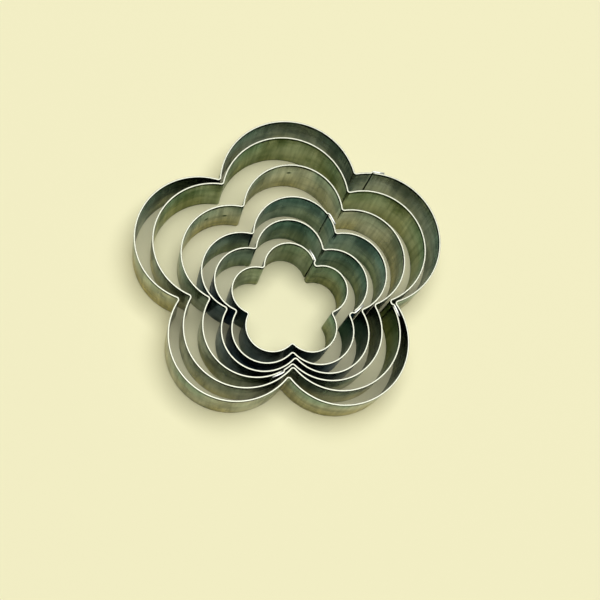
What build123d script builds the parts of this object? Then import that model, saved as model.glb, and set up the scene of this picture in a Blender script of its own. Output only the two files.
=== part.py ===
from build123d import *
from dataclasses import dataclass
import math
import os

# Set of six nesting flower cutters, in millimetres and degrees.
# Each cutter is one strip of tinplate on edge, bent into five round petals with a
# tight bend in each notch between them. The strip's two ends lap on the flank of a
# petal and are held by spot welds, so a cutter is one piece.
# The set stands on its cutting edges, one cutter inside another, as it was put down:
# gathered towards the front notch, each a little turned and none quite even.
# +Z is up, +X right and +Y away from the viewer, where one petal points.
# The origin is on the surface they stand on, under the middle of the largest cutter's
# outline.

# The strip that every cutter is bent from
strip_height = 19.0
strip_thickness = 0.5

# The bends
petals = 5
notch_bend_radius = 0.8          # to the middle of the strip

# The lapped seam
lap_length = 3.8
lap_gap = 0.05                   # hairline left between the two layers
straight_tip_share = 0.5         # how much of the lap the outer layer leaves unbent
joggle_length = 1.0              # where the outer layer steps down past the inner end
weld_width = 1.6
weld_height_shares = (0.25, 0.75)

# Cutters from the largest to the smallest. Reach is from the middle to a notch corner.
# Drift shares say how far each corner sits from its even place, to the right and
# away, as shares of the reach, for the corners upper right, upper left, lower left,
# front and lower right. Petals are counted from the one that points away, to the left,
# and half angles say how far each one turns to either side of its middle.
# A seam lies beside the notch at its petal's start or end, walked anticlockwise, with
# a margin of plain petal between them. Its way is the one that the outer layer runs on
# from its tip.
largest_reach = 37.4
largest_drift_shares = ((0.04, 0.06), (0, -0.04), (0.005, -0.01), (-0.025, 0.01), (-0.015, -0.015))
largest_half_angles = (83.0, 89.5, 88.0, 90.0, 88.5)
largest_seam_petal = 4
largest_seam_side = "end"
largest_seam_margin = 4.7
largest_seam_way = "anticlockwise"

second_step = 3.3                # how much smaller the reach is than the next larger one
second_drift_shares = ((0.025, -0.055), (-0.03, -0.005), (0.025, -0.015), (0.015, 0.005), (0.025, -0.03))
second_half_angles = (82.0, 83.0, 85.0, 87.0, 89.0)
second_seam_petal = 3
second_seam_side = "end"
second_seam_margin = 0.3
second_seam_way = "anticlockwise"
second_turn_angle = 0
second_push_angle = -53.0        # the way it leans inside the next larger one
second_nest_gap = 0.3            # what is left where the two come closest

third_step = 5.6
third_drift_shares = ((-0.005, 0.015), (0.01, -0.005), (0.01, 0.005), (-0.005, -0.025), (-0.01, 0.005))
third_half_angles = (86.5, 83.5, 82.5, 83.5, 86.0)
third_seam_petal = 2
third_seam_side = "end"
third_seam_margin = 2.5
third_seam_way = "anticlockwise"
third_turn_angle = -1.6
third_push_angle = -69.0
third_nest_gap = 0.3

fourth_step = 5.5
fourth_drift_shares = ((0.02, 0.02), (0.005, -0.025), (-0.005, -0.005), (-0.015, 0), (-0.01, 0.01))
fourth_half_angles = (87.5, 87.0, 86.0, 87.5, 87.0)
fourth_seam_petal = 0
fourth_seam_side = "start"
fourth_seam_margin = 2.3
fourth_seam_way = "anticlockwise"
fourth_turn_angle = -0.5
fourth_push_angle = -83.0
fourth_nest_gap = 0.3

fifth_step = 4.0
fifth_drift_shares = ((-0.02, 0.005), (-0.01, -0.005), (0.015, 0.015), (-0.01, 0.005), (0.03, -0.02))
fifth_half_angles = (86.5, 87.5, 86.5, 84.5, 84.5)
fifth_seam_petal = 4
fifth_seam_side = "start"
fifth_seam_margin = 0.3
fifth_seam_way = "clockwise"
fifth_turn_angle = -0.2
fifth_push_angle = -117.0
fifth_nest_gap = 0.3

smallest_step = 5.0
smallest_drift_shares = ((0.025, 0.01), (0.005, -0.035), (-0.02, 0.01), (0, -0.005), (-0.01, 0.02))
smallest_half_angles = (90.5, 90.5, 85.0, 88.5, 90.5)
smallest_seam_petal = 0
smallest_seam_side = "start"
smallest_seam_margin = 0.3
smallest_seam_way = "clockwise"
smallest_turn_angle = 0.8
smallest_push_angle = -104.0
smallest_nest_gap = 1.1

# Halvings of the search for a cutter's place
settle_halvings = 20

right_angle = 90
full_turn_angle = 360


@dataclass
class Shape:
    """What makes one cutter's outline and seam its own."""
    reach: float
    drift_shares: tuple
    half_angles: tuple
    seam_petal: int
    seam_side: str
    seam_margin: float
    seam_way: str

    @property
    def way(self):
        """1 for a seam that runs anticlockwise, and -1 for one that runs clockwise."""
        return 1 if self.seam_way == "anticlockwise" else -1


def direction(angle):
    """A unit step in the plane at an angle."""
    return Vector(math.cos(math.radians(angle)), math.sin(math.radians(angle)))


def angle_of(step):
    """The angle of a step in the plane."""
    return math.degrees(math.atan2(step.Y, step.X))


def right_of(step):
    """The unit step to the right of a walk along a step."""
    unit = step.normalized()
    return Vector(unit.Y, -unit.X)


def corners_of(shape):
    """The five notch corners, anticlockwise from the upper right one."""
    pitch = full_turn_angle / petals
    corners = []
    for count, (right_share, away_share) in enumerate(shape.drift_shares):
        even = direction(right_angle - pitch / 2 + count * pitch)
        corners.append((even + Vector(right_share, away_share)) * shape.reach)
    return corners


def petal_circle(start, end, half_angle):
    """Centre and radius of the petal that runs anticlockwise between two corners."""
    chord = end - start
    radius = chord.length / 2 / math.sin(math.radians(half_angle))
    back = radius * math.cos(math.radians(half_angle))
    centre = (start + end) / 2 - right_of(chord) * back
    return centre, radius


def bend_centre(before, after):
    """Centre of the notch bend that touches two petals from outside."""
    (first, first_radius), (second, second_radius) = before, after
    span = second - first
    near = first_radius + notch_bend_radius
    far = second_radius + notch_bend_radius
    along = (near ** 2 - far ** 2 + span.length ** 2) / (2 * span.length)
    across = math.sqrt(near ** 2 - along ** 2)
    return first + span.normalized() * along + right_of(span) * across


def turn_between(start, end, way):
    """The signed angle walked from one angle to another, one way round."""
    return way * ((way * (end - start)) % full_turn_angle)


def arc(centre, radius, start, end, way):
    """An arc between two angles, walked one way round."""
    return CenterArc(centre, radius, start, turn_between(start, end, way))


def outline_of(shape):
    """The petals' circles and the centres of the bends at their starts."""
    corners = corners_of(shape)
    circles = []
    for n, half_angle in enumerate(shape.half_angles):
        circles.append(petal_circle(corners[n], corners[(n + 1) % petals], half_angle))
    bends = [bend_centre(circles[n - 1], circles[n]) for n in range(petals)]
    return circles, bends


def seam_angles(shape):
    """Angles on the seam's petal of the straight tip's root, the inner end and the joggle's end."""
    circles, bends = outline_of(shape)
    petal = shape.seam_petal
    centre, radius = circles[petal]
    if shape.seam_side == "start":
        notch = bends[petal]
        inwards = 1
    else:
        notch = bends[(petal + 1) % petals]
        inwards = -1
    straight = lap_length * straight_tip_share
    bent = lap_length - straight
    if shape.way == inwards:
        from_notch = shape.seam_margin + straight
    else:
        from_notch = shape.seam_margin + bent + joggle_length
    tip_root = angle_of(notch - centre) + inwards * math.degrees(from_notch / radius)
    inner_end = tip_root + shape.way * math.degrees(bent / radius)
    joggle_end = inner_end + shape.way * math.degrees(joggle_length / radius)
    return tip_root, inner_end, joggle_end


def seam_edges(shape, shift):
    """The outer layer's straight tip, its arc over the lap and its joggle down."""
    circles, _ = outline_of(shape)
    centre, radius = circles[shape.seam_petal]
    way = shape.way
    tip_root, inner_end, joggle_end = seam_angles(shape)
    lower = radius + shift
    upper = lower + strip_thickness + lap_gap
    root = centre + direction(tip_root) * upper
    tip = root - direction(tip_root + way * right_angle) * (lap_length * straight_tip_share)
    top = centre + direction(inner_end) * upper
    foot = centre + direction(joggle_end) * lower
    halfway = (top + foot) / 2
    step_off = TangentArc(top, halfway, tangent=direction(inner_end + way * right_angle))
    step_on = TangentArc(foot, halfway, tangent=direction(joggle_end - way * right_angle))
    return [Line(tip, root), arc(centre, upper, tip_root, inner_end, way), step_off, step_on]


def strip_line(shape, shift=0):
    """The strip's line from the outer layer's tip round to the inner layer's end.

    The shift moves it outwards from the middle of the strip's thickness."""
    circles, bends = outline_of(shape)
    way = shape.way
    _, inner_end, start = seam_angles(shape)
    line = seam_edges(shape, shift)
    here = shape.seam_petal
    for _ in range(petals):
        centre, radius = circles[here]
        ahead = (here + way) % petals
        bend = bends[ahead] if way > 0 else bends[here]
        ahead_centre, _ = circles[ahead]
        line.append(arc(centre, radius + shift, start, angle_of(bend - centre), way))
        from_here = angle_of(centre - bend)
        to_ahead = angle_of(ahead_centre - bend)
        line.append(arc(bend, notch_bend_radius - shift, from_here, to_ahead, -way))
        start = angle_of(bend - ahead_centre)
        here = ahead
    centre, radius = circles[here]
    line.append(arc(centre, radius + shift, start, inner_end, way))
    return Wire(line)


def welded(cutter, shape):
    """The cutter with its two layers joined by a block of metal at each weld."""
    circles, _ = outline_of(shape)
    centre, radius = circles[shape.seam_petal]
    tip_root, _, _ = seam_angles(shape)
    outward = direction(tip_root)
    along = direction(tip_root + shape.way * right_angle)
    weld_middle = centre + outward * (radius + (strip_thickness + lap_gap) / 2)
    weld_middle -= along * (lap_length * straight_tip_share / 2)
    for share in weld_height_shares:
        weld_place = Plane(weld_middle + Vector(0, 0, strip_height * share), z_dir=outward)
        weld = weld_place * Rectangle(weld_width, weld_width)
        cutter += extrude(weld, amount=strip_thickness / 2, both=True)
    return cutter


def bent_cutter(shape):
    """One cutter about its own middle, standing on its edge."""
    outside = strip_line(shape, strip_thickness / 2)
    inside = strip_line(shape, -strip_thickness / 2)
    tip = Line(inside @ 0, outside @ 0)
    end = Line(outside @ 1, inside @ 1)
    section = make_face([*outside.edges(), *inside.edges(), tip, end])
    return welded(extrude(section, amount=strip_height), shape)


def settle(line, outer_line, push_angle, nest_gap):
    """How far a cutter leans one way inside another before the gap is left."""
    clear = 0
    blocked = outer_line.bounding_box().size.X / 2
    for _ in range(settle_halvings):
        middle = (clear + blocked) / 2
        moved = Pos(direction(push_angle) * middle) * line
        if moved.distance_to(outer_line) < strip_thickness + nest_gap:
            blocked = middle
        else:
            clear = middle
    return direction(push_angle) * clear


# Shapes, each reach one step below that of the next larger cutter
second_reach = largest_reach - second_step
third_reach = second_reach - third_step
fourth_reach = third_reach - fourth_step
fifth_reach = fourth_reach - fifth_step
smallest_reach = fifth_reach - smallest_step

largest_shape = Shape(
    largest_reach, largest_drift_shares, largest_half_angles,
    largest_seam_petal, largest_seam_side, largest_seam_margin, largest_seam_way)
second_shape = Shape(
    second_reach, second_drift_shares, second_half_angles,
    second_seam_petal, second_seam_side, second_seam_margin, second_seam_way)
third_shape = Shape(
    third_reach, third_drift_shares, third_half_angles,
    third_seam_petal, third_seam_side, third_seam_margin, third_seam_way)
fourth_shape = Shape(
    fourth_reach, fourth_drift_shares, fourth_half_angles,
    fourth_seam_petal, fourth_seam_side, fourth_seam_margin, fourth_seam_way)
fifth_shape = Shape(
    fifth_reach, fifth_drift_shares, fifth_half_angles,
    fifth_seam_petal, fifth_seam_side, fifth_seam_margin, fifth_seam_way)
smallest_shape = Shape(
    smallest_reach, smallest_drift_shares, smallest_half_angles,
    smallest_seam_petal, smallest_seam_side, smallest_seam_margin, smallest_seam_way)

# Each smaller cutter with its turn, the way it leans and the gap that is left
nest = (
    ("second_cutter", second_shape, second_turn_angle, second_push_angle, second_nest_gap),
    ("third_cutter", third_shape, third_turn_angle, third_push_angle, third_nest_gap),
    ("fourth_cutter", fourth_shape, fourth_turn_angle, fourth_push_angle, fourth_nest_gap),
    ("fifth_cutter", fifth_shape, fifth_turn_angle, fifth_push_angle, fifth_nest_gap),
    ("smallest_cutter", smallest_shape, smallest_turn_angle, smallest_push_angle, smallest_nest_gap),
)

# The set, with the largest cutter's outline centred on the origin
largest = bent_cutter(largest_shape)
middle = largest.bounding_box().center()
place = Vector(-middle.X, -middle.Y)
cutters = {"largest_cutter": Pos(place) * largest}
outer_line = Pos(place) * strip_line(largest_shape)
print("largest_cutter middle at", round(place.X, 2), round(place.Y, 2))
for name, shape, turn_angle, push_angle, nest_gap in nest:
    line = Pos(place) * Rot(0, 0, turn_angle) * strip_line(shape)
    print(name, "is", round(line.distance_to(outer_line) - strip_thickness, 2), "clear when centred")
    place = place + settle(line, outer_line, push_angle, nest_gap)
    cutters[name] = Pos(place) * Rot(0, 0, turn_angle) * bent_cutter(shape)
    outer_line = Pos(place) * Rot(0, 0, turn_angle) * strip_line(shape)
    print(name, "middle at", round(place.X, 2), round(place.Y, 2))

os.makedirs("parts", exist_ok=True)
for name, cutter in cutters.items():
    export_step(cutter, "parts/" + name + ".step")
    size = cutter.bounding_box().size
    print(name, "is", round(size.X, 2), "by", round(size.Y, 2), "by", round(size.Z, 2))
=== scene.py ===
# %% [markdown]
# # A nest of flower cutters
# Six pastry cutters stand one inside another. Each is a single strip of tinned steel on
# edge, bent round five petals, with a tight bend in every notch between them. The strip's
# two ends lap on the flank of a petal and are spot welded there.
#
# The imported model gives every cutter's place and size. It is loaded first and never
# moved. What this script adds is the look: strips with rounded edges that catch the
# light, the welds' marks, the dull tinned finish with shade painted into it, and then the
# surface, the lamp and the camera.

# %% Load the imported model
import math

import bmesh
import bpy
from mathutils import Matrix, Vector


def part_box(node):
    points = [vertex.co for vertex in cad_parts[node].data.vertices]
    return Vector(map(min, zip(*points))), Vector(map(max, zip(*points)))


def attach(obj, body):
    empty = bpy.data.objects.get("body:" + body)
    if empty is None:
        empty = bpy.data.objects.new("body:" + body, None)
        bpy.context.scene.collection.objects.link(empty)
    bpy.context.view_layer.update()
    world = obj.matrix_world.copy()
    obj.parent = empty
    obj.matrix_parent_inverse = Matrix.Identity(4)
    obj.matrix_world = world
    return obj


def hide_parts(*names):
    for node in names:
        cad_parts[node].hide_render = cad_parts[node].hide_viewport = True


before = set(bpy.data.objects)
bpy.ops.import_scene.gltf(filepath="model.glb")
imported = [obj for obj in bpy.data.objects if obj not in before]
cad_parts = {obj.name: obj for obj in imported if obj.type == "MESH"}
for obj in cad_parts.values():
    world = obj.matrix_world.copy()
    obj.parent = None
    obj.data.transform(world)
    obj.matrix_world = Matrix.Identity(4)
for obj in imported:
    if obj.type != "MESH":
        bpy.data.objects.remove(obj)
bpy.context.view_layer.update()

print("nodes:", sorted(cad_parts))

# %% [markdown]
# ## The strip
# The strip is cut from thin tinplate, and all six cutters are bent from the same stock.
# Its sizes are written once here, in metres, and every bend below is worked out from
# them. The edges are not quite sharp: shearing and tumbling round them a little, and
# that small round is what draws the bright line along each rim.

# %% Sizes of the strip and its seam
strip_height = 0.019
strip_thickness = 0.0005
edge_round = 0.0001
notch_bend_radius = 0.0008      # to the middle of the strip

lap_length = 0.0038
lap_gap = 0.00005
straight_tip_share = 0.5
joggle_length = 0.001
weld_width = 0.0016
weld_height_shares = (0.25, 0.75)

petals = 5
right_angle = math.radians(90)
full_turn = math.radians(360)
upright = Vector((0, 0, 1))
print("strip, in mm:", strip_height * 1000, "tall and", strip_thickness * 1000, "thick")

# %% [markdown]
# ## The six shapes
# A cutter's reach is the distance from its middle to a notch corner. Real cutters are
# bent by hand round pegs, so no two petals are quite alike: each corner drifts a little
# from its even place, and each petal turns to its own half angle. The same numbers shape
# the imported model, so the strips made here land on it.

# %% Shapes of the cutters
class Shape:
    """What makes one cutter's outline and seam its own."""

    def __init__(self, reach, drift_shares, half_angles, turn_angle, petal, side, margin, way):
        self.reach = reach
        self.drift_shares = drift_shares
        self.half_angles = [math.radians(angle) for angle in half_angles]
        self.turn = math.radians(turn_angle)
        self.seam_petal = petal
        self.seam_side = side
        self.seam_margin = margin
        self.way = 1 if way == "anticlockwise" else -1


largest_reach = 0.0374
second_reach = largest_reach - 0.0033
third_reach = second_reach - 0.0056
fourth_reach = third_reach - 0.0055
fifth_reach = fourth_reach - 0.004
smallest_reach = fifth_reach - 0.005

shapes = {
    "largest_cutter": Shape(
        largest_reach,
        ((0.04, 0.06), (0, -0.04), (0.005, -0.01), (-0.025, 0.01), (-0.015, -0.015)),
        (83.0, 89.5, 88.0, 90.0, 88.5), 0, 4, "end", 0.0047, "anticlockwise"),
    "second_cutter": Shape(
        second_reach,
        ((0.025, -0.055), (-0.03, -0.005), (0.025, -0.015), (0.015, 0.005), (0.025, -0.03)),
        (82.0, 83.0, 85.0, 87.0, 89.0), 0, 3, "end", 0.0003, "anticlockwise"),
    "third_cutter": Shape(
        third_reach,
        ((-0.005, 0.015), (0.01, -0.005), (0.01, 0.005), (-0.005, -0.025), (-0.01, 0.005)),
        (86.5, 83.5, 82.5, 83.5, 86.0), -1.6, 2, "end", 0.0025, "anticlockwise"),
    "fourth_cutter": Shape(
        fourth_reach,
        ((0.02, 0.02), (0.005, -0.025), (-0.005, -0.005), (-0.015, 0), (-0.01, 0.01)),
        (87.5, 87.0, 86.0, 87.5, 87.0), -0.5, 0, "start", 0.0023, "anticlockwise"),
    "fifth_cutter": Shape(
        fifth_reach,
        ((-0.02, 0.005), (-0.01, -0.005), (0.015, 0.015), (-0.01, 0.005), (0.03, -0.02)),
        (86.5, 87.5, 86.5, 84.5, 84.5), -0.2, 4, "start", 0.0003, "clockwise"),
    "smallest_cutter": Shape(
        smallest_reach,
        ((0.025, 0.01), (0.005, -0.035), (-0.02, 0.01), (0, -0.005), (-0.01, 0.02)),
        (90.5, 90.5, 85.0, 88.5, 90.5), 0.8, 0, "start", 0.0003, "clockwise"),
}
print("shapes:", {name: round(shape.reach * 1000, 1) for name, shape in shapes.items()})

# %% [markdown]
# ## Laying out the bends
# The bench work comes first: where each peg stands. A petal is an arc through two
# neighbouring corners, wide enough to turn to its half angle, and the notch bend is a
# small circle that touches both petals from outside. Only these circles are needed,
# because the strip itself is bent round them later, one after another.

# %% Circles that the strip is bent round
def direction(angle):
    """A unit step in the plane at an angle."""
    return Vector((math.cos(angle), math.sin(angle), 0))


def angle_of(step):
    """The angle of a step in the plane."""
    return math.atan2(step.y, step.x)


def right_of(step):
    """The unit step to the right of a walk along a step."""
    return Vector((step.y, -step.x, 0)).normalized()


def corners_of(shape):
    """The five notch corners, anticlockwise from the upper right one."""
    pitch = full_turn / petals
    corners = []
    for count, (right_share, away_share) in enumerate(shape.drift_shares):
        even = direction(right_angle - pitch / 2 + count * pitch)
        corners.append((even + Vector((right_share, away_share, 0))) * shape.reach)
    return corners


def petal_circle(start, end, half_angle):
    """Centre and radius of the petal that runs anticlockwise between two corners."""
    chord = end - start
    radius = chord.length / 2 / math.sin(half_angle)
    return (start + end) / 2 - right_of(chord) * radius * math.cos(half_angle), radius


def bend_centre(before, after):
    """Centre of the notch bend that touches two petals from outside."""
    (first, first_radius), (second, second_radius) = before, after
    span = second - first
    near = first_radius + notch_bend_radius
    far = second_radius + notch_bend_radius
    along = (near ** 2 - far ** 2 + span.length ** 2) / (2 * span.length)
    across = math.sqrt(near ** 2 - along ** 2)
    return first + span.normalized() * along + right_of(span) * across


def circles_of(shape):
    """The petals' circles and the centres of the bends at their starts."""
    corners = corners_of(shape)
    circles = []
    for n, half_angle in enumerate(shape.half_angles):
        circles.append(petal_circle(corners[n], corners[(n + 1) % petals], half_angle))
    return circles, [bend_centre(circles[n - 1], circles[n]) for n in range(petals)]


def turn_between(start, end, way):
    """The signed angle walked from one angle to another, one way round."""
    return way * ((way * (end - start)) % full_turn)


for name, shape in shapes.items():
    radii = [round(radius * 1000, 1) for _, radius in circles_of(shape)[0]]
    print(name, "petal radii in mm:", radii)

# %% [markdown]
# ## The seam
# One end of the strip is stepped outwards over the other, which a maker calls a joggle.
# Past the step the outer layer follows the petal for half of the lap, and its tip is
# left straight. Three angles on the petal say where these begin and end.

# %% Places along the seam
def seam_angles(shape):
    """Angles on the seam's petal of the straight tip's root, the inner end and the joggle's end."""
    circles, bends = circles_of(shape)
    centre, radius = circles[shape.seam_petal]
    if shape.seam_side == "start":
        notch, inwards = bends[shape.seam_petal], 1
    else:
        notch, inwards = bends[(shape.seam_petal + 1) % petals], -1
    straight = lap_length * straight_tip_share
    bent = lap_length - straight
    if shape.way == inwards:
        from_notch = shape.seam_margin + straight
    else:
        from_notch = shape.seam_margin + bent + joggle_length
    tip_root = angle_of(notch - centre) + inwards * from_notch / radius
    inner_end = tip_root + shape.way * bent / radius
    return tip_root, inner_end, inner_end + shape.way * joggle_length / radius


def touching_arc(start, end, heading):
    """Centre and signed turn of the arc that leaves start along a heading and meets end."""
    chord = end - start
    half_turn = (angle_of(chord) - heading + math.pi) % full_turn - math.pi
    radius = chord.length / 2 / math.sin(half_turn)
    return start - right_of(direction(heading)) * radius, 2 * half_turn


for name, shape in shapes.items():
    print(name, "seam at degrees:", [round(math.degrees(angle)) for angle in seam_angles(shape)])

# %% [markdown]
# ## Bending the strip
# Blender's Spin tool does what a bending jig does: it carries the free end of the strip
# round a centre and leaves metal behind it. So the strip starts as one upright face, its
# cross-section, and a walk of spins takes its edge round every petal and notch. A sweep
# along a curve would give the same outline, but the spins keep the section square to
# the strip in the tightest bends, and they need no points of their own.

# %% The cross-section
section_rows = 14
corner_steps = 3


def draw_section(bm):
    """One upright face as thin and tall as the strip, looking along +Y, corners rounded."""
    bmesh.ops.create_grid(bm, x_segments=1, y_segments=section_rows, size=0.5)
    for vert in bm.verts:
        # rows crowd towards both edges, so the rounds there shade cleanly
        crowded = (1 - math.cos(math.pi * (vert.co.y + 0.5))) / 2
        vert.co = Vector((vert.co.x * strip_thickness, 0, crowded * strip_height))
    corners = [vert for vert in bm.verts if len(vert.link_edges) == 2]
    bmesh.ops.bevel(bm, geom=corners, offset=edge_round, segments=corner_steps,
                    profile=0.5, affect="VERTICES", material=-1)
    return [edge for edge in bm.edges if edge.is_boundary]


trial = bmesh.new()
print("the section has", len(draw_section(trial)), "edges round it")
trial.free()

# %% [markdown]
# A bend is cut into steps that are short on wide petals and fine in tight notches. The
# longest step is about a millimetre, which leaves a petal's chords thinner than a hair
# off its true round.

# %% Bending and pushing the free end
longest_step = 0.001
widest_step_angle = math.radians(12)


def free_end(geometry):
    """The vertices and edges of the strip's free end, out of what an operator returned."""
    return [part for part in geometry if not isinstance(part, bmesh.types.BMFace)]


def edges_of(end):
    """Only the edges of a free end."""
    return [part for part in end if isinstance(part, bmesh.types.BMEdge)]


def bend(bm, end, centre, turn, radius):
    """Carries the free end round a centre by a signed angle."""
    steps = max(math.ceil(abs(turn) * radius / longest_step),
                math.ceil(abs(turn) / widest_step_angle))
    made = bmesh.ops.spin(bm, geom=end, cent=centre, axis=upright, angle=turn, steps=steps)
    return free_end(made["geom_last"])


def push(bm, end, step):
    """Runs the free end straight on by a step."""
    made = bmesh.ops.extrude_edge_only(bm, edges=edges_of(end))
    verts = [part for part in made["geom"] if isinstance(part, bmesh.types.BMVert)]
    bmesh.ops.translate(bm, verts=verts, vec=step)
    edges = {edge for vert in verts for edge in vert.link_edges
             if all(corner in verts for corner in edge.verts)}
    return verts + list(edges)


def turn_all(bm, angle):
    """Turns a whole mesh about the upright axis."""
    bmesh.ops.rotate(bm, verts=bm.verts, cent=Vector(), matrix=Matrix.Rotation(angle, 3, "Z"))


trial = bmesh.new()
bend(trial, draw_section(trial), Vector((-notch_bend_radius, 0, 0)), right_angle, notch_bend_radius)
print("a quarter turn of a notch bend has", len(trial.faces), "faces")
trial.free()

# %% [markdown]
# The walk begins at the outer layer's tip, because that end is seen. It runs down the
# straight tip, round half of the lap, and through the joggle's two small arcs, which
# bring the strip down to the petal's own radius.

# %% The seam's outer layer

def walk_the_seam(bm, shape):
    """Bends the outer layer of the seam, and returns its free end and the faces over the lap."""
    circles, _ = circles_of(shape)
    centre, radius = circles[shape.seam_petal]
    way = shape.way
    tip_root, inner_end, joggle_end = seam_angles(shape)
    upper = radius + strip_thickness + lap_gap
    heading = tip_root + way * right_angle
    root = centre + direction(tip_root) * upper
    tip = root - direction(heading) * (lap_length * straight_tip_share)

    edges = draw_section(bm)
    turn_all(bm, heading - right_angle)
    bmesh.ops.translate(bm, verts=bm.verts, vec=tip)
    end = push(bm, edges, root - tip)
    end = bend(bm, end, centre, turn_between(tip_root, inner_end, way), upper)
    pressed = list(bm.faces)

    top = centre + direction(inner_end) * upper
    foot = centre + direction(joggle_end) * radius
    halfway = (top + foot) / 2
    off_centre, off_turn = touching_arc(top, halfway, inner_end + way * right_angle)
    on_centre, on_turn = touching_arc(foot, halfway, joggle_end - way * right_angle)
    end = bend(bm, end, off_centre, off_turn, (top - off_centre).length)
    return bend(bm, end, on_centre, -on_turn, (foot - on_centre).length), pressed


# %% [markdown]
# From the joggle the strip goes once round all petals and stops under the lap. Both cut
# ends are closed with a face. The faces that the welder's jaws press get a finish of
# their own, set last, because a spin hands its face's finish on to all that it makes.

# %% Round the petals
outside_finish, pressed_finish, inside_finish = range(3)


def walk_the_petals(bm, shape, end):
    """Bends the rest of the strip, once round all petals, to its inner end."""
    circles, bends = circles_of(shape)
    way = shape.way
    _, inner_end, start = seam_angles(shape)
    here = shape.seam_petal
    for _ in range(petals):
        centre, radius = circles[here]
        ahead = (here + way) % petals
        peg = bends[ahead] if way > 0 else bends[here]
        ahead_centre, _ = circles[ahead]
        end = bend(bm, end, centre, turn_between(start, angle_of(peg - centre), way), radius)
        notch_turn = turn_between(angle_of(centre - peg), angle_of(ahead_centre - peg), -way)
        end = bend(bm, end, peg, notch_turn, notch_bend_radius)
        start = angle_of(peg - ahead_centre)
        here = ahead
    centre, radius = circles[here]
    return bend(bm, end, centre, turn_between(start, inner_end, way), radius)


def bent_strip(shape):
    """A whole strip about the middle of its own petals."""
    bm = bmesh.new()
    end, pressed = walk_the_seam(bm, shape)
    end = walk_the_petals(bm, shape, end)
    for face in pressed:
        face.material_index = pressed_finish
    bmesh.ops.edgeloop_fill(bm, edges=edges_of(end))
    bmesh.ops.recalc_face_normals(bm, faces=bm.faces)
    return bm


trial = bent_strip(shapes["smallest_cutter"])
print("the smallest strip has", len(trial.faces), "faces")
trial.free()

# %% [markdown]
# ## The welds' marks
# A spot welder squeezes the lap between two copper electrodes, which leave a shallow
# dish with a raised lip on the outer layer. The lip is what catches light, so the mark is
# a small lathed ring, spun from its profile and let into the wall by most of its depth.

# %% A weld mark
lip_height = 0.00012
lip_width = 0.00025
dish_height = lip_height / 4
mark_depth = 0.0002
mark_steps = 32


def weld_mark(bm, place, outward):
    """A dished button with a raised lip, facing outwards at a place on the wall."""
    across = right_of(outward)
    half = weld_width / 2
    profile = ((0, dish_height), (half - lip_width * 2, dish_height),
               (half - lip_width, lip_height), (half - lip_width / 2, lip_height),
               (half, 0), (half, -mark_depth), (0, -mark_depth))
    verts = [bm.verts.new(place + across * out + outward * up) for out, up in profile]
    edges = [bm.edges.new(pair) for pair in zip(verts, verts[1:])]
    bmesh.ops.spin(bm, geom=verts + edges, cent=place, axis=outward,
                   angle=full_turn, steps=mark_steps, use_merge=True)
    # faces without a tag are those of the marks
    touched = {vert for face in bm.faces if not face.tag for vert in face.verts}
    bmesh.ops.remove_doubles(bm, verts=list(touched), dist=lip_height / 100)


def press_welds(bm, shape):
    """Both weld marks, in the middle of the seam's straight tip, in the pressed finish."""
    for face in bm.faces:
        face.tag = True
    circles, _ = circles_of(shape)
    centre, radius = circles[shape.seam_petal]
    tip_root, _, _ = seam_angles(shape)
    outward = direction(tip_root)
    back = direction(tip_root + shape.way * right_angle) * (lap_length * straight_tip_share / 2)
    face_place = centre + outward * (radius + lap_gap + strip_thickness * 1.5) - back
    for share in weld_height_shares:
        weld_mark(bm, face_place + upright * strip_height * share, outward)
    marks = [face for face in bm.faces if not face.tag]
    bmesh.ops.recalc_face_normals(bm, faces=marks)
    for face in marks:
        face.material_index = pressed_finish
    return len(marks)


trial = bmesh.new()
weld_mark(trial, Vector(), direction(0))
print("a weld mark has", len(trial.faces), "faces")
trial.free()

# %% [markdown]
# The insides and the outsides of the cutters get tones of their own, which carry painted
# shade and painted reflection besides the tin's own colour. So the faces are sorted into
# two finishes. A face belongs to the circle that it was bent round, and it looks out of
# the cutter if it looks away from a petal's centre, or towards the peg of a notch, which
# stands outside.

# %% Faces that look inwards
def mark_inside(bm, shape):
    """Gives the faces that look into the cutter their own finish, and counts them."""
    count = 0
    circles, bends = circles_of(shape)
    rounds = [(centre, radius, 1) for centre, radius in circles]
    rounds += [(peg, notch_bend_radius, -1) for peg in bends]
    for face in bm.faces:
        middle = face.calc_center_median()
        middle.z = 0
        centre, _, out = min(rounds, key=lambda r: abs((middle - r[0]).length - r[1]))
        if face.normal.dot(middle - centre) * out < 0 and face.material_index == outside_finish:
            face.material_index = inside_finish
            count += 1
    return count


# %% [markdown]
# ## Standing the strips in place
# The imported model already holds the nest: which way each cutter leans, and how close it
# comes to its neighbour. So each strip is turned as its cutter is, moved until its middle
# is the middle of that node's box, and rides on the node's body. It then stands for the
# node, which is kept unseen for collision.

# %% From bent strips to cutters in the nest
cutters = {}
moves = {}
for name, shape in shapes.items():
    bm = bent_strip(shape)
    marks = press_welds(bm, shape)
    inwards = mark_inside(bm, shape)
    turn_all(bm, shape.turn)
    low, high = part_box(name)
    mine_low = Vector(min(vert.co[axis] for vert in bm.verts) for axis in range(3))
    mine_high = Vector(max(vert.co[axis] for vert in bm.verts) for axis in range(3))
    moves[name] = (low + high) / 2 - (mine_low + mine_high) / 2
    bmesh.ops.translate(bm, verts=bm.verts, vec=moves[name])
    for face in bm.faces:
        face.smooth = True
    mesh = bpy.data.meshes.new(name + "_strip")
    bm.to_mesh(mesh)
    bm.free()
    strip = bpy.data.objects.new(name + "_strip", mesh)
    bpy.context.scene.collection.objects.link(strip)
    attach(strip, name)
    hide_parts(name)
    cutters[name] = strip
    larger = (mine_high - mine_low) - (high - low)
    print(name, "faces", len(mesh.polygons), "of marks", marks, "inside", inwards,
          "larger than its node, in mm:", [round(side * 1000, 3) for side in larger])

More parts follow.
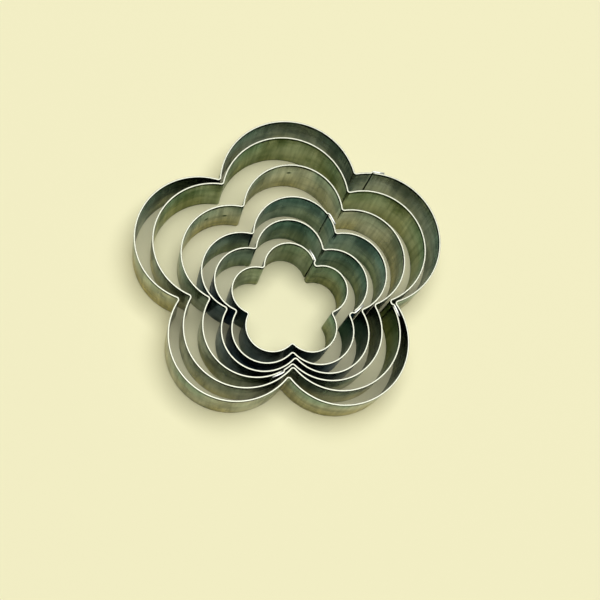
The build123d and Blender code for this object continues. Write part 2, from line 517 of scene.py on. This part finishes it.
# %% [markdown]
# ## The tinned finish
# Hot tin on steel goes dull and faintly green with use. Light slides down it in upright
# streaks, and blotches, rolling lines and a few dark spots break the reflections. All but
# the spots is made of noise on Object coordinates: stretched tall they give the streaks,
# and stretched wide the rolling lines, so no seam shows at any bend.
#
# A finish takes many shader nodes, so a few helpers come first. Each adds what it is
# named for to a material's tree and hands back its output.

# %% Helpers for patterns
def add(tree, kind, **settings):
    """A new shader node with its settings and its unlinked inputs filled in."""
    made = tree.nodes.new(kind)
    for key, value in settings.items():
        if hasattr(made, key):
            setattr(made, key, value)
        else:
            made.inputs[key.replace("_", " ")].default_value = value
    return made


def stretched(tree, scale):
    """The object's own coordinates, in metres, scaled by a factor along each axis."""
    coordinates = add(tree, "ShaderNodeTexCoord")
    mapping = add(tree, "ShaderNodeMapping", Scale=scale)
    tree.links.new(coordinates.outputs["Object"], mapping.inputs["Vector"])
    return mapping.outputs["Vector"]


def cloudy(tree, scale, size, detail):
    """A noise between 0 and 1 on stretched coordinates."""
    noise = add(tree, "ShaderNodeTexNoise", Scale=size, Detail=detail)
    tree.links.new(stretched(tree, scale), noise.inputs["Vector"])
    return noise.outputs["Fac"]


def ranged(tree, value, low, high, to_low=0.0, to_high=1.0):
    """A value taken from one range to another and held inside it."""
    made = add(tree, "ShaderNodeMapRange",
               From_Min=low, From_Max=high, To_Min=to_low, To_Max=to_high)
    tree.links.new(value, made.inputs["Value"])
    return made.outputs["Result"]


# %% [markdown]
# The other helpers put such values together: a mask made weaker, two masks multiplied,
# and a value or a colour mixed with another by a mask.

# %% Helpers for mixing
def part_of(tree, mask, share):
    """A mask from 0 to 1 made weaker by a share."""
    return ranged(tree, mask, 0, 1, 0, share)


def times(tree, first, second):
    """Two linked values multiplied."""
    made = add(tree, "ShaderNodeMath", operation="MULTIPLY")
    tree.links.new(first, made.inputs[0])
    tree.links.new(second, made.inputs[1])
    return made.outputs[0]


def between(tree, factor, first, second):
    """A linked value and a plain number, mixed by a linked factor."""
    made = add(tree, "ShaderNodeMix", data_type="FLOAT")
    tree.links.new(factor, made.inputs[0])
    tree.links.new(first, made.inputs[2])
    made.inputs[3].default_value = second
    return made.outputs[0]


def mixed(tree, factor, first, second):
    """Two colours, given or linked, mixed by a linked factor."""
    made = add(tree, "ShaderNodeMix", data_type="RGBA")
    tree.links.new(factor, made.inputs["Factor"])
    for socket, colour in ((made.inputs[6], first), (made.inputs[7], second)):
        if isinstance(colour, tuple):
            socket.default_value = (*colour, 1)
        else:
            tree.links.new(colour, socket)
    return made.outputs[2]


# %% [markdown]
# ### Tones and painted shade
# Each side of each cutter has three tones: the tin where it is still clean, the tin where
# it has gone dull, and what is left of the light at a glancing angle. Besides the tin's
# own colour, the tones hold painted shade and painted reflection: each cutter and each side
# is set darker, and tinted towards green and blue, as its walls stand in shade and mirror
# shaded neighbours. The third tells most, because many of the walls are seen almost along
# their faces.

# %% Tones of the tin, with painted shade
# painted shade and painted reflection: each cutter's outside tones darken and tint its walls for the
# shade they stand in, besides the tin's own colour
outside_tones_and_shade = {
    "largest_cutter": ((0.50, 0.51, 0.41), (0.28, 0.28, 0.21), (1.0, 1.0, 0.92)),
    "second_cutter": ((0.60, 0.62, 0.53), (0.30, 0.33, 0.27), (1.0, 1.0, 0.92)),
    "third_cutter": ((0.42, 0.45, 0.38), (0.20, 0.23, 0.19), (0.90, 0.93, 0.88)),
    "fourth_cutter": ((0.24, 0.27, 0.28), (0.10, 0.12, 0.13), (0.60, 0.68, 0.78)),
    "fifth_cutter": ((0.14, 0.16, 0.19), (0.05, 0.06, 0.09), (0.42, 0.50, 0.66)),
    "smallest_cutter": ((0.20, 0.23, 0.25), (0.08, 0.10, 0.11), (0.55, 0.62, 0.70)),
}
# painted shade and painted reflection: each cutter's inside tones likewise, besides the tin's own
# colour
inside_tones_and_shade = {
    "largest_cutter": ((0.42, 0.46, 0.43), (0.14, 0.18, 0.17), (0.84, 0.90, 0.87)),
    "second_cutter": ((0.40, 0.43, 0.30), (0.18, 0.23, 0.105), (0.81, 0.86, 0.74)),
    "third_cutter": ((0.53, 0.54, 0.44), (0.28, 0.30, 0.22), (0.86, 0.90, 0.86)),
    "fourth_cutter": ((0.26, 0.36, 0.335), (0.12, 0.18, 0.165), (0.88, 0.95, 0.95)),
    "fifth_cutter": ((0.23, 0.31, 0.265), (0.10, 0.155, 0.125), (0.84, 0.92, 0.90)),
    "smallest_cutter": ((0.33, 0.38, 0.29), (0.17, 0.21, 0.14), (0.80, 0.84, 0.76)),
}
pressed_tones = ((0.62, 0.63, 0.60), (0.45, 0.46, 0.42), (0.95, 0.96, 0.93))
dull_glance_shares = (0.8, 0.8, 0.78)

bare_edge = (0.40, 0.405, 0.33)
bright_edge = (0.55, 0.56, 0.52)
edge_glance = (0.9, 0.9, 0.85)
print("sides with tones of their own:", len(outside_tones_and_shade) + len(inside_tones_and_shade))

# %% [markdown]
# ### Spots
# Three dark spots sit on the inside of the third cutter. Each is given by its petal, its
# angle on that petal and its height, and is a small ball of darkness round that place,
# so it stays on the wall wherever the wall stands.

# %% Dark spots
spot_radius = 0.001
spots = {"third_cutter": ((0, 92, 0.0125), (1, 97, 0.0095), (1, 120, 0.0108))}


def spot_places_of(name):
    """The places of a cutter's dark spots, on its wall's inner face."""
    places = []
    for petal, angle, height in spots.get(name, ()):
        centre, radius = circles_of(shapes[name])[0][petal]
        inner_face = radius - strip_thickness / 2
        place = centre + direction(math.radians(angle)) * inner_face + upright * height
        places.append(Matrix.Rotation(shapes[name].turn, 3, "Z") @ place + moves[name])
    return places


def spot_mask(tree, place):
    """1 at a place on the wall, and 0 a spot's radius away."""
    coordinates = add(tree, "ShaderNodeTexCoord")
    distance = add(tree, "ShaderNodeVectorMath", operation="DISTANCE")
    tree.links.new(coordinates.outputs["Object"], distance.inputs[0])
    distance.inputs[1].default_value = place
    return ranged(tree, distance.outputs["Value"], spot_radius, spot_radius / 2)


for name in spots:
    print(name, "spots at", [tuple(round(part, 4) for part in place) for place in spot_places_of(name)])

# %% [markdown]
# ### Wear and painted shade
# Wear and painted shade are told by masks, from 0 for none to 1 for full. Noise gives the
# blotches, the upright streaks and the rolling bands. Height on the strip gives the rest: a
# broken dark line of painted shade just under the rim and a thin one at the foot, painted
# shade that makes the tin darker and cooler towards the rim, warmer tin below, and the
# bare sheared edge. Most insides also carry painted shade that darkens them towards the
# front.

# %% Patterns in the tin
# how the noise is stretched, its grains to the metre, its fineness, and the noise that
# counts as none and as full
patterns = {
    "dull": ((1, 1, 0.7), 90.0, 3.0, 0.4, 0.68),
    "cool": ((1, 1, 0.4), 70.0, 3.0, 0.4, 0.6),
    "warm": ((1, 1, 0.4), 50.0, 3.0, 0.38, 0.6),
    "bands": ((0.2, 0.2, 1), 330.0, 4.0, 0.48, 0.68),
    "streaks": ((1, 1, 0.05), 1100.0, 5.0, 0.38, 0.72),
    "wide_streaks": ((1, 1, 0.2), 240.0, 3.0, 0.42, 0.7),
    "rim_shade_breaks": ((1, 1, 0.3), 220.0, 3.0, 0.35, 0.6),
}


def noise_mask(tree, name):
    """One of the patterns as a mask."""
    stretch, grains, fineness, none, full = patterns[name]
    return ranged(tree, cloudy(tree, stretch, grains, fineness), none, full)


print("patterns:", ", ".join(patterns))

# %% [markdown]
# The patterns and the heights come together in one set of masks. The painted shade under
# the rim and the one at the foot are given in metres, because they would be as deep on a
# taller strip, and the cool and warm parts in shares of the strip's height.

# %% Where the strip wears, and where shade is painted on it
# painted shade: the cool parts make the tin darker and cooler towards the rim
cool_from, cool_to, coolest = 0.35, 0.9, 0.9    # two shares of the height, one of the mask
warm_from, warm_to = 0.7, 0.1
band_dark, streak_dark, wide_streak_dark = 0.4, 0.45, 0.35
# painted shade: a broken dark line just under the rim, how deep it is, and a thin one at the foot
rim_shade_depth = 0.0014
rim_shade_start_share = 0.8                          # of its depth, where it is full
faint_rim_shade, deep_rim_shade = 0.45, 0.95
foot_height = 0.0006
foot_shade = 0.6
edge_from, edge_to = 1.5, 0.5                   # in rounds of the edge, down from the rim
# painted shade: the insides are darkened towards the front, where their walls mirror shaded floor in
# the narrow front gaps
front_shade_start, front_shade_end = -0.006, -0.016         # along Y, where the insides go darker
front_painted_shades = {"largest_cutter": 0.35, "second_cutter": 0.6, "third_cutter": 0.7,
               "fourth_cutter": 0.75, "fifth_cutter": 0.75, "smallest_cutter": 0.0}


def wear_and_shade_masks(tree, axes, spot_places, front_shade):
    """Where the tin is dull, cool, warm, dark, under painted shade or bare, from 0 to 1."""
    height = axes["Z"]
    upper = ranged(tree, height, strip_height * cool_from, strip_height * cool_to, 0, coolest)
    lower = ranged(tree, height, strip_height * warm_from, strip_height * warm_to)
    bands = noise_mask(tree, "bands")
    streaks = noise_mask(tree, "streaks")
    dark = [part_of(tree, bands, band_dark), part_of(tree, streaks, streak_dark),
            part_of(tree, noise_mask(tree, "wide_streaks"), wide_streak_dark),
            # painted shade towards the front of the insides
            ranged(tree, axes["Y"], front_shade_start, front_shade_end, 0, front_shade)]
    dark += [spot_mask(tree, place) for place in spot_places]
    # painted shade: a broken dark line just under the rim, and a thin one at the foot
    rim_shade_band = ranged(tree, height, strip_height - rim_shade_depth,
                  strip_height - rim_shade_depth * rim_shade_start_share)
    breaks = ranged(tree, noise_mask(tree, "rim_shade_breaks"), 0, 1, faint_rim_shade, deep_rim_shade)
    foot = ranged(tree, height, foot_height, foot_height / 2, 0, foot_shade)
    return {
        "dull": noise_mask(tree, "dull"),
        # painted shade, darker and cooler towards the rim
        "cool": times(tree, upper, noise_mask(tree, "cool")),
        "warm": times(tree, lower, noise_mask(tree, "warm")),
        "dark": dark,
        "painted_shade": [times(tree, rim_shade_band, breaks), foot],
        "edge": ranged(tree, height, strip_height - edge_round * edge_from,
                       strip_height - edge_round * edge_to),
        "grooves": streaks,
        "waves": bands,
    }


# %% [markdown]
# ### Laying the wear and the painted shade over the tin
# The masks are laid one over another, from the broad to the small, and the bare edge
# comes last. The same recipe is used twice: for the colour of the tin, and for its tint
# at a glancing angle, without which the wear and the painted shade would hardly show on
# the steep walls.

# %% Wear and painted shade over the tin
# painted shade near the rim: how much darker and cooler the cool parts are
cool_shares = (0.68, 0.84, 0.86)
warm_shares = (1.03, 0.94, 0.70)
dark_shares = (0.41, 0.45, 0.45)
# how dark the painted shade under the rim and at the foot is, in shares of the dull tin
painted_shade_shares = (0.2, 0.2, 0.2)


def shaded(colour, shares):
    """A colour with each part taken by its share."""
    return tuple(part * share for part, share in zip(colour, shares))


def worn_and_shaded(tree, masks, clean, dull, edge):
    """One colour of the tin with all its wear and painted shade laid over it."""
    colour = mixed(tree, masks["dull"], clean, dull)
    colour = mixed(tree, masks["cool"], colour, shaded(clean, cool_shares))
    colour = mixed(tree, masks["warm"], colour, shaded(clean, warm_shares))
    for mask in masks["dark"]:
        colour = mixed(tree, mask, colour, shaded(dull, dark_shares))
    # the painted shade under the rim and at the foot
    for mask in masks["painted_shade"]:
        colour = mixed(tree, mask, colour, shaded(dull, painted_shade_shares))
    return mixed(tree, masks["edge"], colour, edge)


# %% [markdown]
# ### The material
# The tin is a metal, smooth where it is clean and rougher where it is dull. The streaks
# are also fine grooves and the bands shallow waves, and two bumps, one after the other,
# let them bend the reflections.

# %% The tinned strip
clean_roughness = 0.16
dull_roughness = 0.34
edge_roughness = 0.5
groove_strength = 0.3
wave_strength = 0.1
groove_depth = 0.0001


def tinned_finish(name, tones, edge_tin=bare_edge, spot_places=(), front_shade=0.0):
    """The tin of the strips with its wear and painted shade, brighter along the cut edges."""
    clean_tin, dull_tin, glance = tones
    material = bpy.data.materials.new(name)
    material.use_nodes = True
    tree = material.node_tree
    shader = tree.nodes["Principled BSDF"]
    shader.inputs["Metallic"].default_value = 1.0
    axes = add(tree, "ShaderNodeSeparateXYZ")
    tree.links.new(stretched(tree, (1, 1, 1)), axes.inputs["Vector"])
    masks = wear_and_shade_masks(tree, axes.outputs, spot_places, front_shade)
    colour = worn_and_shaded(tree, masks, clean_tin, dull_tin, edge_tin)
    tint = worn_and_shaded(tree, masks, glance, shaded(glance, dull_glance_shares), edge_glance)
    rough = ranged(tree, masks["dull"], 0, 1, clean_roughness, dull_roughness)
    rough = between(tree, masks["edge"], rough, edge_roughness)
    tree.links.new(colour, shader.inputs["Base Color"])
    tree.links.new(tint, shader.inputs["Specular Tint"])
    tree.links.new(rough, shader.inputs["Roughness"])

    grooves = add(tree, "ShaderNodeBump", Strength=groove_strength, Distance=groove_depth)
    waves = add(tree, "ShaderNodeBump", Strength=wave_strength, Distance=groove_depth)
    tree.links.new(masks["grooves"], grooves.inputs["Height"])
    tree.links.new(masks["waves"], waves.inputs["Height"])
    tree.links.new(grooves.outputs["Normal"], waves.inputs["Normal"])
    tree.links.new(waves.outputs["Normal"], shader.inputs["Normal"])
    return material


pressed_tin = tinned_finish("pressed_tin", pressed_tones, bright_edge)
# each cutter's outside and inside finishes carry its painted shade and painted reflection along with
# its tin
for name, cutter in cutters.items():
    outside = tinned_finish(name + "_outside", outside_tones_and_shade[name])
    inside = tinned_finish(name + "_inside", inside_tones_and_shade[name],
                           # the insides' painted shade towards the front
                           spot_places=spot_places_of(name), front_shade=front_painted_shades[name])
    for material in (outside, pressed_tin, inside):
        cutter.data.materials.append(material)
print("finishes:", [material.name for material in bpy.data.materials])

# %% [markdown]
# ## The surface, the light and the camera
# The set stands on a plain pale cream surface. It is one big square, so wide that its end
# lies far off even in a low view, and it is matt, so the lamp doesn't mirror in it.

# %% Surface
floor_half = 6
floor_cream = (0.87, 0.84, 0.57)
floor_roughness = 0.9
floor_shine = 0.1

floor_mesh = bpy.data.meshes.new("floor")
bm = bmesh.new()
bmesh.ops.create_grid(bm, x_segments=1, y_segments=1, size=floor_half)
bm.to_mesh(floor_mesh)
bm.free()
floor = bpy.data.objects.new("floor", floor_mesh)
bpy.context.scene.collection.objects.link(floor)

paper = bpy.data.materials.new("pale_paper")
paper.use_nodes = True
paper_shader = paper.node_tree.nodes["Principled BSDF"]
paper_shader.inputs["Base Color"].default_value = (*floor_cream, 1)
paper_shader.inputs["Roughness"].default_value = floor_roughness
paper_shader.inputs["Specular IOR Level"].default_value = floor_shine
floor_mesh.materials.append(paper)
print("surface:", floor_half * 2, "m wide")

# %% [markdown]
# One wide soft lamp hangs above the set, behind it and to the right, so short soft
# shadows fall to the left and to the front, and the rims, which face up, mirror the lamp.
# The walls mirror only the surface and each other.

# %% Lamp
lamp_place = Vector((0.15, 0.18, 3.3))
lamp_side = 2.4
lamp_power = 110

lamp_data = bpy.data.lights.new("soft_lamp", "AREA")
lamp_data.shape = "SQUARE"
lamp_data.size = lamp_side
lamp_data.energy = lamp_power
lamp = bpy.data.objects.new("soft_lamp", lamp_data)
lamp.location = lamp_place
lamp.rotation_euler = (-lamp_place).to_track_quat("-Z", "Y").to_euler()
bpy.context.scene.collection.objects.link(lamp)
print("lamp:", lamp_side, "m wide,", round(lamp_place.length, 2), "m from the set")

# %% [markdown]
# The rest of the room lights the set with a faint warm glow. Rays from the camera and
# from mirrored or clear surfaces see a pale room instead, so the metal has something
# bright to show and no more light falls on the set.

# %% Room
room_colour = (1.0, 0.96, 0.66)
room_strength = 0.16
seen_colour = (0.90, 0.91, 0.88)
seen_strength = 0.85

world = bpy.data.worlds.new("room")
world.use_nodes = True
sky = world.node_tree
room = sky.nodes["Background"]
room.inputs["Color"].default_value = (*room_colour, 1)
room.inputs["Strength"].default_value = room_strength
seen = add(sky, "ShaderNodeBackground", Color=(*seen_colour, 1), Strength=seen_strength)
path = add(sky, "ShaderNodeLightPath")
camera_or_gloss = add(sky, "ShaderNodeMath", operation="MAXIMUM")
sky.links.new(path.outputs["Is Camera Ray"], camera_or_gloss.inputs[0])
sky.links.new(path.outputs["Is Glossy Ray"], camera_or_gloss.inputs[1])
seen_or_lit = add(sky, "ShaderNodeMath", operation="MAXIMUM")
sky.links.new(camera_or_gloss.outputs["Value"], seen_or_lit.inputs[0])
sky.links.new(path.outputs["Is Transmission Ray"], seen_or_lit.inputs[1])
choice = add(sky, "ShaderNodeMixShader")
sky.links.new(seen_or_lit.outputs["Value"], choice.inputs["Fac"])
sky.links.new(room.outputs["Background"], choice.inputs[1])
sky.links.new(seen.outputs["Background"], choice.inputs[2])
sky.links.new(choice.outputs["Shader"], sky.nodes["World Output"].inputs["Surface"])
bpy.context.scene.world = world
bpy.context.scene.view_settings.view_transform = "Standard"
print("room:", room_strength, "of its glow on the set, and", seen_strength, "where it is seen")

# %% [markdown]
# The camera looks down steeply from the front left. Its picture is turned a little, so
# one petal of each cutter points almost straight up in it.

# %% Camera
camera_place = Vector((-0.0581, -0.11468, 0.37213))
camera_aim = Vector((0.00575, -0.00872, 0))
picture_up_turn = math.radians(-1.75)    # from the way that the petals point
camera_lens = 68.93

camera_data = bpy.data.cameras.new("camera")
camera_data.lens = camera_lens
camera_data.sensor_width = 36
camera_data.clip_start = 0.01
camera = bpy.data.objects.new("camera", camera_data)
bpy.context.scene.collection.objects.link(camera)
back = (camera_place - camera_aim).normalized()
side = direction(right_angle + picture_up_turn).cross(back).normalized()
turned = Matrix((side, back.cross(side), back)).transposed().to_4x4()
camera.matrix_world = Matrix.Translation(camera_place) @ turned
bpy.context.scene.camera = camera
print("camera is", round((camera_place - camera_aim).length * 1000), "mm from where it looks")
